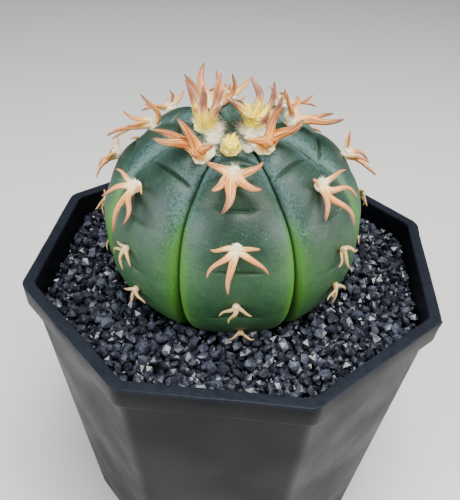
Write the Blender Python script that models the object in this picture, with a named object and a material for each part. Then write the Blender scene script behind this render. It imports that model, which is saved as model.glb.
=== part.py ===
"""A round cactus with eight ribs, in an octagonal plastic pot dressed with black grit.

The origin is the middle of the pot's foot, +Z is up and the pot's flats face X and Y.
"""

import math

import bmesh
import bpy
from mathutils import Matrix, Vector

MM = 0.001
GAP = 0.3 * MM  # between pieces that touch
MERGE = 0.01 * MM
SHARP_FROM = math.radians(40)

# Pot
RIM_ACROSS_FLATS = 100 * MM
RIM_HEIGHT = 5.8 * MM
RIM_PROUD = 1.3 * MM
POT_HEIGHT = 85 * MM
FOOT_ACROSS_FLATS = 77 * MM
WALL = 1.5 * MM
CORNER_RADIUS = 4 * MM
FOOT_HEIGHT = 2.5 * MM
FOOT_WIDTH = 4 * MM
FLOOR = 2 * MM
DRAIN_DIAMETER = 3.8 * MM
DRAIN_RING_DIAMETER = 40 * MM
DRAINS_IN_RING = 4

# Filling
GRIT_BELOW_RIM = 5 * MM
GRIT_DEPTH = 12 * MM

# Stem
STEM_DIAMETER = 63.2 * MM
CROWN_RISE = 27.2 * MM  # from the widest ring up to the crown
KEEL_DROP = 25 * MM  # from the widest ring down to the keel
EQUATOR_ABOVE_GRIT = 15.2 * MM
STEM_PLACE = Vector((-1.2 * MM, 0.4 * MM))  # off the pot's middle
CROWN_FULLNESS = 2.2
KEEL_FULLNESS = 2.17
CROWN_SHIFT = 2.5 * MM  # the ribs meet this far in front of the stem's axis
CROWN_DIP = 3 * MM
CROWN_DIP_RADIUS = 7.5 * MM
GROOVE_DEPTH = 1.8 * MM
GROOVE_SHARPNESS = 1.6
GROOVE_FADE = 25  # degrees from either pole
GROOVES = (-18, 32, 79, 126, 170, 212, 253, 295)  # turn from the front, in degrees
RIB_TWIST = 6  # degrees, from the crown to the keel
TAPROOT_LENGTH = 32 * MM
TAPROOT_DIAMETER = 13 * MM
TAPROOT_TIP_DIAMETER = 4.4 * MM
TAPROOT_OVERLAP = 3 * MM  # into the keel
COLUMNS_PER_RIB = 6
STEM_ROWS = 22
ROOM_MARGIN = 1.15  # keeps the flat faces of the room off those of the stem

# Spine clusters
FRAME_STEP = 0.5  # degrees either side, to find which way the skin faces
PAD_SIZE = Vector((3.6, 3.0, 1.7)) * MM
SPINE_STEPS = ((0.0, 1.0), (0.4, 0.82), (0.75, 0.5), (1.0, 0.12))  # share of length, share of girth

# Each growth: pad scale, spine diameter in mm, bow as a share of length, and its spines as
# (degrees clockwise from the crownward direction, degrees above the skin, length in mm).
GROWTHS = {
    "bud": (
        0.75, 1.4, 0.0,
        ((-92, 30, 3.0), (-30, 58, 3.2), (30, 58, 3.2), (88, 30, 3.0)),
    ),
    "star": (
        1.2, 2.3, 0.06,
        ((-74, 21, 6.4), (79, 20, 6.6), (-137, 16, 7.0), (136, 16, 7.0), (-173, 17, 10.2)),
    ),
    "wide": (
        1.0, 1.7, 0.06,
        ((-85, 15, 5.7), (81, 18, 5.3), (-133, 14, 8.2), (123, 13, 8.4), (-170, 18, 9.4)),
    ),
    "fork": (
        0.7, 1.1, 0.08,
        ((-115, 14, 4.3), (124, 14, 4.1), (-162, 19, 4.6)),
    ),
    "claw": (
        0.6, 0.9, 0.1,
        ((-106, 20, 3.4), (110, 20, 3.8)),
    ),
    "crest_left": (
        1.2, 2.7, 0.05,
        ((-97, 20, 12.0), (-111, 33, 10.6), (-84, 57, 8.4), (76, 48, 5.3), (176, 40, 4.6)),
    ),
    "crest_right": (
        1.2, 2.7, 0.05,
        ((70, 62, 8.6), (108, 33, 10.0), (-90, 34, 5.9), (-150, 40, 5.2), (160, 48, 4.4)),
    ),
    "hand_left": (
        1.0, 1.8, 0.06,
        ((-85, 16, 6.4), (-142, 16, 9.0), (162, 13, 10.8), (128, 14, 10.0), (80, 16, 5.8)),
    ),
    "hand_right": (
        1.0, 1.8, 0.06,
        ((92, 17, 7.4), (143, 16, 8.6), (-172, 13, 11.2), (-132, 14, 10.2), (-58, 24, 4.2)),
    ),
    "lizard": (
        0.7, 1.1, 0.08,
        ((-124, 12, 4.6), (176, 12, 5.2), (118, 14, 4.4), (-60, 24, 2.6)),
    ),
    "flame_left": (
        1.2, 2.8, 0.04,
        ((-172, 56, 9.6), (11, 70, 8.0), (109, 66, 10.0),
         (56, 52, 7.2), (-100, 54, 8.0), (142, 34, 6.6)),
    ),
    "flame_right": (
        1.2, 2.8, 0.04,
        ((139, 66, 9.8), (-160, 54, 10.0), (30, 57, 8.2), (-40, 40, 5.2), (-104, 42, 7.6)),
    ),
    "antler": (
        1.1, 2.4, 0.06,
        ((147, 38, 10.2), (170, 62, 9.4), (-25, 66, 8.4), (-50, 52, 8.8)),
    ),
    "gable": (
        1.1, 2.2, 0.06,
        ((-40, 50, 8.0), (-178, 26, 9.4), (-156, 21, 11.6), (110, 34, 6.6)),
    ),
    "rear": (
        1.0, 2.1, 0.06,
        ((-100, 38, 7.4), (175, 12, 7.6), (-150, 14, 7.8), (128, 12, 6.6), (4, 54, 3.4)),
    ),
    "side": (
        1.0, 1.8, 0.06,
        ((-96, 30, 7.2), (96, 30, 7.2), (-148, 22, 8.8), (148, 22, 8.8), (0, 42, 4.8)),
    ),
    "spread": (
        1.0, 1.9, 0.06,
        ((28, 50, 8.6), (179, 41, 7.7), (112, 30, 7.6), (140, 20, 11.4), (156, 16, 10.6)),
    ),
}

# Each rib from the crown down: colatitude and turn from the front in degrees, and the growth.
AREOLES = {
    "front": (
        (17, -2, "bud"), (33, 3.5, "star"), (65, 5.5, "wide"),
        (93, 6.5, "fork"), (117, 9.5, "claw"),
    ),
    "front_right": (
        (18, 38, "crest_right"), (45.5, 54.5, "hand_right"),
        (79, 55, "lizard"), (97, 53, "fork"),
    ),
    "right": (
        (21, 103, "gable"), (54, 102, "side"), (78, 101, "lizard"),
        (99, 100, "fork"), (117, 99, "claw"),
    ),
    "back_right": (
        (7, 118, "flame_right"), (37, 148, "side"),
        (64, 147, "wide"), (90, 146, "fork"),
    ),
    "back": (
        (27, -169, "rear"), (54, -169, "side"),
        (80, -168, "lizard"), (101, -167, "fork"),
    ),
    "back_left": (
        (20, -148, "antler"), (45, -132, "side"),
        (71, -127, "wide"), (94, -126, "fork"),
    ),
    "left": (
        (11, -80, "flame_left"), (36, -99, "spread"), (62, -95, "wide"),
        (86, -91, "lizard"), (105, -86, "fork"),
    ),
    "front_left": (
        (24, -27, "crest_left"), (52, -50, "hand_left"),
        (81, -43, "lizard"), (100, -38, "fork"),
    ),
}


def clear_scene():
    for item in list(bpy.data.objects):
        bpy.data.objects.remove(item)


def collection(name, hidden=False):
    made = bpy.data.collections.new(name)
    made.hide_render = hidden
    bpy.context.scene.collection.children.link(made)
    return made


def material(name, colour, roughness, metallic=0.0):
    made = bpy.data.materials.new(name)
    made.use_nodes = True
    surface = made.node_tree.nodes["Principled BSDF"]
    surface.inputs["Base Color"].default_value = (*colour, 1)
    surface.inputs["Roughness"].default_value = roughness
    surface.inputs["Metallic"].default_value = metallic
    return made


def place(name, mesh, into, finish=None, smooth=False):
    """A new object for the mesh, in the given collection."""
    item = bpy.data.objects.new(name, mesh)
    into.objects.link(item)
    if finish:
        mesh.materials.append(finish)
    if smooth:
        mesh.shade_smooth()
        mesh.set_sharp_from_angle(angle=SHARP_FROM)
    return item


def boolean(item, tool, operation):
    """Joins or cuts with a hidden tool, and keeps the modifier live."""
    tool.hide_render = True
    tool.display_type = "WIRE"
    modifier = item.modifiers.new(tool.name, "BOOLEAN")
    modifier.operation = operation
    modifier.object = tool
    modifier.use_self = operation == "UNION"


def octagon(name, low, low_flats, high, high_flats, corner):
    """An upright eight-sided frustum with rounded corners, its flats facing X and Y."""
    to_corner = 0.5 / math.cos(math.pi / 8)
    bm = bmesh.new()
    bmesh.ops.create_cone(
        bm,
        cap_ends=True,
        segments=8,
        radius1=low_flats * to_corner,
        radius2=high_flats * to_corner,
        depth=high - low,
    )
    turn = Matrix.Rotation(math.pi / 8, 4, "Z")
    bmesh.ops.transform(bm, matrix=Matrix.Translation((0, 0, (low + high) / 2)) @ turn, verts=bm.verts)
    upright = [edge for edge in bm.edges if abs(edge.verts[0].co.z - edge.verts[1].co.z) > (high - low) / 2]
    setback = corner * math.tan(math.pi / 8)
    bmesh.ops.bevel(bm, geom=upright, offset=setback, segments=2, profile=0.5, affect="EDGES")
    mesh = bpy.data.meshes.new(name)
    bm.to_mesh(mesh)
    bm.free()
    return mesh


def wall_flats(height):
    """The pot wall's outer size across its flats at this height."""
    share = height / POT_HEIGHT
    top = RIM_ACROSS_FLATS - 2 * RIM_PROUD
    return FOOT_ACROSS_FLATS + (top - FOOT_ACROSS_FLATS) * share


def inside(name, low, high, clearance=0.0):
    """What fills the pot's inside between two heights."""
    inset = 2 * (WALL + clearance)
    return octagon(name, low, wall_flats(low) - inset, high, wall_flats(high) - inset, CORNER_RADIUS - WALL)


def drains():
    """One drain in the middle and a ring of them, all through the floor."""
    bm = bmesh.new()
    places = [Vector((0, 0, FOOT_HEIGHT + FLOOR / 2))]
    for index in range(DRAINS_IN_RING):
        angle = math.tau * (index + 0.5) / DRAINS_IN_RING
        arm = Vector((math.cos(angle), math.sin(angle), 0)) * DRAIN_RING_DIAMETER / 2
        places.append(places[0] + arm)
    for middle in places:
        bmesh.ops.create_cone(
            bm,
            cap_ends=True,
            segments=12,
            radius1=DRAIN_DIAMETER / 2,
            radius2=DRAIN_DIAMETER / 2,
            depth=2 * FLOOR,
            matrix=Matrix.Translation(middle),
        )
    mesh = bpy.data.meshes.new("drains")
    bm.to_mesh(mesh)
    bm.free()
    return mesh


def build_pot(parts, tools):
    plastic = material("black_plastic", (0.012, 0.013, 0.016), 0.42)
    walls = octagon("pot", 0, FOOT_ACROSS_FLATS, POT_HEIGHT, wall_flats(POT_HEIGHT), CORNER_RADIUS)
    pot = place("pot", walls, parts, plastic)
    rim_low = POT_HEIGHT - RIM_HEIGHT
    rim_low_flats = RIM_ACROSS_FLATS - RIM_PROUD / 2
    rim = octagon("rim_band", rim_low, rim_low_flats, POT_HEIGHT, RIM_ACROSS_FLATS, CORNER_RADIUS)
    boolean(pot, place("rim_band", rim, tools), "UNION")
    floor_top = FOOT_HEIGHT + FLOOR
    boolean(pot, place("pot_hollow", inside("pot_hollow", floor_top, POT_HEIGHT + WALL), tools), "DIFFERENCE")
    recess_flats = FOOT_ACROSS_FLATS - 2 * FOOT_WIDTH
    recess = octagon("foot_recess", -FOOT_HEIGHT, recess_flats, FOOT_HEIGHT, recess_flats, CORNER_RADIUS)
    boolean(pot, place("foot_recess", recess, tools), "DIFFERENCE")
    boolean(pot, place("drains", drains(), tools), "DIFFERENCE")


def rib_turn(column):
    """Turn of a mesh column in degrees, and its share of the way across its rib, from groove to groove."""
    rib, share = divmod(column / COLUMNS_PER_RIB, 1.0)
    here = GROOVES[int(rib) % len(GROOVES)]
    after = GROOVES[(int(rib) + 1) % len(GROOVES)]
    return here + share * ((after - here) % 360), share


def stem_point(colatitude, turn, sink=0.0):
    """A point of the stem's skin, both angles in degrees, sunk towards its axis by a length.

    Rings of a superellipse slide forward towards the crown, and the crown dips.
    """
    radius = STEM_DIAMETER / 2
    angle = math.radians(colatitude)
    crownward = colatitude < 90
    fullness = CROWN_FULLNESS if crownward else KEEL_FULLNESS
    girth = radius * abs(math.sin(angle)) ** (2 / fullness)
    heading = math.radians(turn)
    reach = max(girth - sink, 0.0)
    forward = CROWN_SHIFT * (1 - (girth / radius) ** 2) if crownward else 0.0
    across = Vector((reach * math.sin(heading), -reach * math.cos(heading) - forward))
    if crownward:
        share = min(across.length / (radius - sink), 1.0)
        height = CROWN_RISE * (1 - share**fullness) ** (1 / fullness)
        height -= CROWN_DIP * math.exp(-((girth / CROWN_DIP_RADIUS) ** 2))
    else:
        height = -KEEL_DROP * abs(math.cos(angle)) ** (2 / fullness)
    equator = POT_HEIGHT - GRIT_BELOW_RIM + EQUATOR_ABOVE_GRIT
    return Vector((*(across + STEM_PLACE), equator + height))


def stem_mesh(name, swell=0.0):
    """The ribbed stem, or with a swell the room that it needs."""
    bm = bmesh.new()
    columns = COLUMNS_PER_RIB * len(GROOVES)
    bmesh.ops.create_uvsphere(bm, u_segments=columns, v_segments=STEM_ROWS, radius=1)
    for vertex in bm.verts:
        around = math.atan2(vertex.co.x, -vertex.co.y) % math.tau
        colatitude = math.degrees(math.acos(max(-1.0, min(1.0, vertex.co.z))))
        turn, share = rib_turn(round(around * columns / math.tau) % columns)
        fade = min(1.0, colatitude / GROOVE_FADE, (180 - colatitude) / GROOVE_FADE)
        sink = GROOVE_DEPTH * fade * (1 - math.sin(math.pi * share)) ** GROOVE_SHARPNESS
        vertex.co = stem_point(colatitude, turn + RIB_TWIST * (colatitude - 90) / 180, sink)
    if swell:
        bm.normal_update()
        outward = [vertex.normal * swell * ROOM_MARGIN for vertex in bm.verts]
        for vertex, step in zip(bm.verts, outward):
            vertex.co += step
    mesh = bpy.data.meshes.new(name)
    bm.to_mesh(mesh)
    bm.free()
    return mesh


def taproot_mesh(name, swell=0.0):
    """A root that tapers down from inside the stem's keel."""
    keel = POT_HEIGHT - GRIT_BELOW_RIM + EQUATOR_ABOVE_GRIT - KEEL_DROP
    length = TAPROOT_LENGTH + TAPROOT_OVERLAP + swell
    bm = bmesh.new()
    bmesh.ops.create_cone(
        bm,
        cap_ends=True,
        segments=16,
        radius1=TAPROOT_TIP_DIAMETER / 2 + swell,
        radius2=TAPROOT_DIAMETER / 2 + swell,
        depth=length,
    )
    middle = keel + TAPROOT_OVERLAP - length / 2
    bmesh.ops.translate(bm, vec=(*STEM_PLACE, middle), verts=bm.verts)
    mesh = bpy.data.meshes.new(name)
    bm.to_mesh(mesh)
    bm.free()
    return mesh


def build_stem(parts, tools):
    flesh = material("stem_skin", (0.09, 0.17, 0.11), 0.5)
    stem = place("stem", stem_mesh("stem"), parts, flesh, smooth=True)
    boolean(stem, place("taproot", taproot_mesh("taproot"), tools), "UNION")


def build_filling(parts, tools):
    """Potting soil and, above it, the grit, both cut round the stem and its root."""
    stem_room = place("stem_room", stem_mesh("stem_room", GAP), tools)
    root_room = place("root_room", taproot_mesh("root_room", GAP), tools)
    grit_top = POT_HEIGHT - GRIT_BELOW_RIM
    grit_low = grit_top - GRIT_DEPTH
    layers = (
        ("potting_soil", FOOT_HEIGHT + FLOOR + GAP, grit_low - GAP, (0.03, 0.02, 0.013), 0.95),
        ("grit_top_dressing", grit_low, grit_top, (0.012, 0.013, 0.018), 0.3),
    )
    for name, low, high, colour, roughness in layers:
        layer = place(name, inside(name, low, high, GAP), parts, material(name, colour, roughness))
        boolean(layer, root_room, "DIFFERENCE")
        boolean(layer, stem_room, "DIFFERENCE")


def areole_frame(colatitude, turn):
    """Place and axes at a point of the skin: X to the right, Y crownward and Z outward."""
    here = stem_point(colatitude, turn)
    crownward = stem_point(colatitude - FRAME_STEP, turn) - stem_point(colatitude + FRAME_STEP, turn)
    sideways = stem_point(colatitude, turn + FRAME_STEP) - stem_point(colatitude, turn - FRAME_STEP)
    crownward.normalize()
    outward = sideways.cross(crownward).normalized()
    rightward = crownward.cross(outward)
    frame = Matrix((rightward, crownward, outward)).transposed().to_4x4()
    frame.translation = here
    return frame


def pad_mesh(name, scale):
    bm = bmesh.new()
    bmesh.ops.create_uvsphere(bm, u_segments=10, v_segments=6, radius=0.5)
    bmesh.ops.scale(bm, vec=PAD_SIZE * scale, verts=bm.verts)
    bmesh.ops.translate(bm, vec=(0, 0, GAP + PAD_SIZE.z * scale / 2), verts=bm.verts)
    mesh = bpy.data.meshes.new(name)
    bm.to_mesh(mesh)
    bm.free()
    return mesh


def spines_mesh(name, growth, frame):
    """The tapered spines of one cluster as a mesh, made from a curve with a spline for each."""
    pad_scale, diameter, bow, spines = GROWTHS[growth]
    curve = bpy.data.curves.new(name, "CURVE")
    curve.dimensions = "3D"
    curve.bevel_depth = 1.0
    curve.bevel_resolution = 0
    curve.use_fill_caps = True
    root = Vector((0, 0, GAP + PAD_SIZE.z * pad_scale / 2))
    for heading, lift, length in spines:
        lean = math.radians(lift)
        along = Vector((math.sin(math.radians(heading)), math.cos(math.radians(heading)), 0))
        chord = (along * math.cos(lean) + Vector((0, 0, math.sin(lean)))) * length * MM
        rise = Vector((0, 0, 1)) * length * MM * bow
        spline = curve.splines.new("POLY")
        spline.points.add(len(SPINE_STEPS) - 1)
        for point, (share, girth) in zip(spline.points, SPINE_STEPS):
            point.co = (*(root + chord * share + rise * math.sin(math.pi * share)), 1)
            point.radius = girth * diameter * MM / 2
    item = bpy.data.objects.new(name, curve)
    bpy.context.scene.collection.objects.link(item)
    item.matrix_world = frame
    bpy.context.view_layer.update()
    evaluated = item.evaluated_get(bpy.context.evaluated_depsgraph_get())
    mesh = bpy.data.meshes.new_from_object(evaluated)
    bpy.data.objects.remove(item)
    bm = bmesh.new()
    bm.from_mesh(mesh)
    bmesh.ops.remove_doubles(bm, verts=bm.verts, dist=MERGE)
    bm.to_mesh(mesh)
    bm.free()
    return mesh


def build_spines(parts, tools):
    """One object for each areole: its woolly pad with the spines that grow from it."""
    horn = material("spine_horn", (0.62, 0.33, 0.2), 0.45)
    for rib, areoles in AREOLES.items():
        for index, (colatitude, turn, growth) in enumerate(areoles, start=1):
            name = f"spines_{rib}_{index}"
            frame = areole_frame(colatitude, turn)
            pad = place(name, pad_mesh(name, GROWTHS[growth][0]), parts, horn)
            pad.matrix_world = frame
            tool = place(f"{name}_tool", spines_mesh(f"{name}_tool", growth, frame), tools)
            tool.matrix_world = frame
            boolean(pad, tool, "UNION")


def main():
    clear_scene()
    parts = collection("potted_round_cactus")
    tools = collection("cutters", hidden=True)
    build_pot(parts, tools)
    build_filling(parts, tools)
    build_stem(parts, tools)
    build_spines(parts, tools)


main()
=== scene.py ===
"""The finished looks of the round cactus in its octagonal pot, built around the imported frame.

Lengths are in metres and angles in degrees unless a docstring says otherwise. The stem and its ribs follow
the same formulas as the CAD part, and the areoles stand at the same places, so each cluster of spines grows
where its CAD node stands.
"""

import math

import bmesh
import bpy
import numpy as np
from bpy.props import FloatProperty, FloatVectorProperty, IntProperty, PointerProperty
from mathutils import Matrix, Vector


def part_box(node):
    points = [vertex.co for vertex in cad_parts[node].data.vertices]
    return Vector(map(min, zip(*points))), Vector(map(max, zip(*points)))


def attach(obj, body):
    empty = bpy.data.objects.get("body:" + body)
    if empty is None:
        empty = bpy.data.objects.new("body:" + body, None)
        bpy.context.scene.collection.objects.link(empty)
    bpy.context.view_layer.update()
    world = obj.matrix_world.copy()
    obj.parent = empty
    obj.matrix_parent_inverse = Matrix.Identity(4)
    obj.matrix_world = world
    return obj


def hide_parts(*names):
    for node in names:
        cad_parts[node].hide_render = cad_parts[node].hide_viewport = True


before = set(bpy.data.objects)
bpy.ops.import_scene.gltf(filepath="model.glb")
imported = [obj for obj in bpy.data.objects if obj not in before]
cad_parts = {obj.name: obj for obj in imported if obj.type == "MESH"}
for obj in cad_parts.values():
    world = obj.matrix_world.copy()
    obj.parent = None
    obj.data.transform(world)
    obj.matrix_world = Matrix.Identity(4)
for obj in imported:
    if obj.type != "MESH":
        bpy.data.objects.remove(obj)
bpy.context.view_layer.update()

bl_info = {
    "name": "Potted round cactus",
    "version": (1, 0, 0),
    "blender": (4, 5, 0),
    "location": "3D View > Sidebar > Cactus",
    "description": "Builds the pot, grit, ribbed stem, wool and spines of a round cactus",
    "category": "Add Mesh",
}

POT_LOW, POT_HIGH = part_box("pot")
GRIT_LOW, GRIT_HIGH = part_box("grit_top_dressing")
STEM_LOW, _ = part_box("stem")
MM = 0.001

# The stem's form, as in the CAD part
STEM_PLACE = (-1.2 * MM, 0.4 * MM)
CROWN_FULLNESS = 2.2
KEEL_FULLNESS = 2.17
CROWN_DIP_RADIUS = 7.5 * MM
EQUATOR_ABOVE_GRIT = 15.2 * MM
GROOVES = (-18, 32, 79, 126, 170, 212, 253, 295)
RIBS = ("front", "front_right", "right", "back_right", "back", "back_left", "left", "front_left")
RIB_TWIST = 6

# The creases: how far they reach across half a rib, how deep they are as shares of the crease depth and how
# much painted shade lies in them, near the crown, on the front rib and on the other ribs. Limits, gap and
# sag are in degrees of colatitude, and SKIN_RADIUS in mm turns them into distances along the skin.
CREASES = {"crown": (1.05, 1.7, 0.9), "front": (0.42, 1.0, 0.7), "rest": (0.3, 0.5, 0.7)}
CROWN_LIMIT = 40
TWIN_LIMIT = 28
TWIN_GAP = 3.2
CREASE_SAG = 3.2
SKIN_RADIUS = 30

CAMERA_PLACE = (7.2 * MM, -131.8 * MM, 182.8 * MM)
CAMERA_TARGET = (-1.5 * MM, 0.0, 85 * MM)
CAMERA_ROLL = 2.6
LIGHT_TARGET = (0, 0, 90 * MM)

# The height map that the loose grit falls on, and the spots that a grain tries: how many it picks, between
# which distances from the stem's middle in mm, and how many of the free ones it compares
MAP_CELL = 0.45 * MM
MAP_HALF = 47 * MM
GRAIN_TRIES = 40
GRAIN_SPOTS = 9
SCATTER_NEAR = 23.5
SCATTER_FAR = 51

DRAIN_RADIUS = 1.9 * MM
DRAIN_RING_RADIUS = 20 * MM

# How a cluster sits on the skin, for the young growths of the crown and for older ones: the lift of the
# spines' root and the size of the hub and the places of the wool, as shares of the spine diameter, and the
# wool's size as shares of the pad's width
OLD_TONE = 0.4
YOUNG_FORM = {"root": 0.2, "hub": 0.55, "wool_up": 0.42, "wool_out": 0.1, "wool": (0.5, 0.42, 0.2)}
OLD_FORM = {"root": 0.42, "hub": 0.97, "wool_up": 0.16, "wool_out": 0.72, "wool": (0.46, 0.46, 0.3)}
HUB_SHAPE = (0.8, 0.74, 0.56)
CROWN_WOOL_SHAPE = (0.5, 0.5, 0.17)
MOUND_ROWS = 10
MOUND_COLUMNS = 22

# Each growth: wool scale, spine diameter in mm, tone (0 yellow and young, 0.3 amber, 0.6 peach, 1 straw), and
# its spines as (degrees clockwise from crownward, degrees above the skin, length in mm, share of the
# diameter, bow outward and swerve sideways as shares of the length).
GROWTHS = {
    "bud": (1.3, 2.4, 0.02, (
        (-84, 40, 2.5, 1.2, 0.05, 0.0), (-34, 54, 2.9, 0.8, 0.03, 0.0), (8, 58, 3.1, 0.8, 0.03, 0.0),
        (48, 52, 2.8, 0.8, 0.03, 0.0), (92, 40, 2.5, 1.2, 0.05, 0.0), (180, 36, 1.8, 1.4, 0.05, 0.0),
        (-130, 36, 2.1, 1.3, 0.05, 0.0), (132, 36, 2.1, 1.3, 0.05, 0.0), (6, 50, 2.0, 1.5, 0.0, 0.0),
    )),
    "star": (0.85, 2.8, 0.46, (
        (-74, 21, 6.4, 0.85, -0.05, 0.03), (79, 20, 6.6, 0.85, 0.04, 0.05),
        (-137, 16, 7.0, 0.95, 0.06, -0.03), (136, 16, 7.0, 0.95, 0.06, 0.03),
        (-173, 17, 10.2, 1.1, 0.08, 0.0),
    )),
    "wide": (0.6, 1.75, 0.6, (
        (-85, 15, 5.7, 0.85, 0.08, 0.0), (81, 18, 5.3, 0.85, 0.08, 0.0), (-133, 14, 8.2, 0.95, 0.08, 0.07),
        (123, 13, 8.4, 0.95, 0.09, -0.05), (-170, 18, 9.4, 1.15, 0.08, 0.03),
    )),
    "fork": (0.28, 1.05, 0.9, (
        (-115, 14, 4.3, 1.0, 0.08, 0.08), (124, 14, 4.1, 1.0, 0.1, -0.08), (-162, 19, 4.6, 1.1, 0.08, 0.0),
    )),
    "claw": (0.26, 0.85, 1.0, (
        (-106, 20, 3.4, 1.0, 0.16, 0.12), (110, 20, 3.8, 1.0, 0.2, -0.16), (40, 26, 1.8, 0.9, 0.1, 0.0),
    )),
    "crest_left": (1.35, 3.2, 0.26, (
        (-97, 20, 12.0, 0.95, 0.05, 0.05), (-111, 33, 10.6, 1.0, 0.04, 0.02),
        (-84, 57, 8.4, 0.95, 0.05, 0.04), (76, 48, 5.3, 1.0, 0.16, 0.12), (176, 40, 4.6, 1.05, 0.1, 0.0),
    )),
    "crest_right": (1.35, 3.2, 0.28, (
        (70, 62, 8.6, 0.9, 0.03, 0.0), (108, 33, 10.0, 1.1, 0.05, -0.03), (-90, 34, 5.9, 0.95, 0.18, -0.12),
        (-150, 40, 5.2, 1.2, 0.12, 0.0), (160, 48, 4.4, 0.9, 0.06, 0.0),
    )),
    "hand_left": (0.7, 1.9, 0.62, (
        (-85, 16, 6.4, 0.8, 0.05, 0.02), (-142, 16, 9.0, 0.9, 0.06, 0.05), (162, 13, 10.8, 1.05, 0.1, -0.02),
        (128, 14, 10.0, 1.0, 0.09, 0.0), (80, 16, 5.8, 0.8, 0.06, -0.05),
    )),
    "hand_right": (0.7, 1.9, 0.62, (
        (92, 17, 7.4, 0.8, 0.05, -0.02), (143, 16, 8.6, 0.9, 0.06, -0.03), (-172, 13, 11.2, 1.05, 0.1, 0.0),
        (-132, 14, 10.2, 0.95, 0.08, 0.0), (-58, 24, 4.2, 0.85, 0.04, 0.0),
    )),
    "lizard": (0.3, 1.1, 0.9, (
        (-124, 12, 4.6, 0.9, 0.08, 0.08), (176, 12, 5.2, 1.1, 0.1, 0.1), (118, 14, 4.4, 1.1, 0.1, -0.06),
        (-60, 24, 2.6, 0.9, 0.06, 0.0),
    )),
    "flame_left": (1.5, 3.5, 0.05, (
        (-168, 60, 10.2, 0.85, -0.08, 0.05), (11, 70, 8.4, 1.0, 0.02, 0.05), (109, 66, 9.6, 1.0, -0.06, 0.04),
        (62, 54, 7.6, 0.95, 0.06, 0.0), (-120, 50, 8.2, 0.85, -0.05, 0.04), (150, 52, 5.6, 1.1, 0.1, 0.0),
        (92, 54, 5.2, 1.15, 0.1, 0.05), (30, 56, 5.0, 1.1, 0.1, 0.0),
    )),
    "flame_right": (1.5, 3.5, 0.05, (
        (139, 66, 9.4, 1.0, -0.1, 0.06), (-160, 52, 10.6, 0.85, -0.06, 0.05), (30, 57, 8.2, 0.95, 0.06, 0.03),
        (-40, 56, 4.8, 1.15, 0.1, 0.0), (-108, 42, 8.6, 0.9, -0.05, 0.04), (-8, 56, 4.8, 1.15, 0.1, 0.0),
        (-140, 40, 10.4, 0.85, -0.06, 0.05), (80, 54, 5.4, 1.1, 0.06, 0.0),
    )),
    "antler": (1.3, 2.6, 0.62, (
        (147, 38, 10.2, 0.95, -0.2, 0.16), (170, 62, 9.4, 1.3, -0.06, -0.12),
        (-25, 66, 8.4, 0.95, -0.12, 0.2), (-50, 52, 8.8, 0.95, -0.2, -0.16),
        (-150, 46, 8.6, 0.95, -0.14, 0.18),
    )),
    "gable": (1.1, 2.4, 0.5, (
        (-40, 50, 8.0, 0.85, 0.03, 0.0), (-178, 26, 9.4, 0.9, -0.06, 0.05),
        (-156, 21, 11.6, 1.15, -0.04, -0.06), (110, 34, 6.6, 0.9, 0.05, 0.0),
    )),
    "rear": (1.0, 2.2, 0.5, (
        (-100, 38, 7.4, 0.9, -0.06, 0.06), (175, 12, 7.6, 1.0, 0.05, -0.05), (-150, 14, 7.8, 1.0, 0.05, 0.06),
        (128, 12, 6.6, 0.9, 0.06, 0.0), (4, 54, 3.4, 0.9, 0.05, 0.0),
    )),
    "side": (0.85, 2.0, 0.6, (
        (-96, 30, 7.2, 0.85, -0.05, 0.04), (96, 30, 7.2, 0.85, -0.05, -0.04),
        (-148, 22, 8.8, 0.95, 0.05, 0.06), (148, 22, 8.8, 0.95, 0.05, -0.06), (0, 42, 4.8, 0.8, 0.02, 0.0),
    )),
    "spread": (0.85, 2.1, 0.6, (
        (28, 50, 8.6, 0.85, -0.08, -0.08), (179, 41, 7.7, 0.85, -0.05, 0.05), (112, 30, 7.6, 0.8, 0.05, 0.0),
        (140, 20, 11.4, 1.0, 0.05, -0.06), (156, 16, 10.6, 0.9, 0.04, 0.02),
    )),
}

# Each rib's areoles from the crown down: colatitude, turn from the front, and growth.
AREOLES = {
    "front": (
        (17, -2, "bud"), (33, 3.5, "star"), (65, 5.5, "wide"), (93, 6.5, "fork"), (117, 9.5, "claw"),
    ),
    "front_right": (
        (18, 38, "crest_right"), (45.5, 54.5, "hand_right"), (79, 55, "lizard"), (97, 53, "fork"),
    ),
    "right": (
        (21, 103, "gable"), (54, 102, "side"), (78, 101, "lizard"), (99, 100, "fork"), (117, 99, "claw"),
    ),
    "back_right": (
        (7, 118, "flame_right"), (37, 148, "side"), (64, 147, "wide"), (90, 146, "fork"),
    ),
    "back": (
        (27, -169, "rear"), (54, -169, "side"), (80, -168, "lizard"), (101, -167, "fork"),
    ),
    "back_left": (
        (20, -148, "antler"), (45, -132, "side"), (71, -127, "wide"), (94, -126, "fork"),
    ),
    "left": (
        (11, -80, "flame_left"), (36, -99, "spread"), (62, -95, "wide"), (86, -91, "lizard"),
        (105, -86, "fork"),
    ),
    "front_left": (
        (24, -27, "crest_left"), (52, -50, "hand_left"), (81, -43, "lizard"), (100, -38, "fork"),
    ),
}

# Loose wool on the crown: colatitude, turn, and wool scale.
CROWN_WOOL = (
    (15.5, 19, 0.8), (13, -34, 0.85), (9, -56, 1.1), (6, 60, 0.8), (8, 90, 1.1), (14, -100, 0.9),
)


def length(name, default, description):
    """A property that holds a length."""
    return FloatProperty(
        name=name, description=description, default=default,
        min=0.0, precision=5, unit="LENGTH", subtype="DISTANCE",
    )


def colour(name, default, description):
    """A property that holds a linear colour."""
    return FloatVectorProperty(
        name=name, description=description, default=default, min=0.0, max=1.0, size=3, subtype="COLOR"
    )


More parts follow.
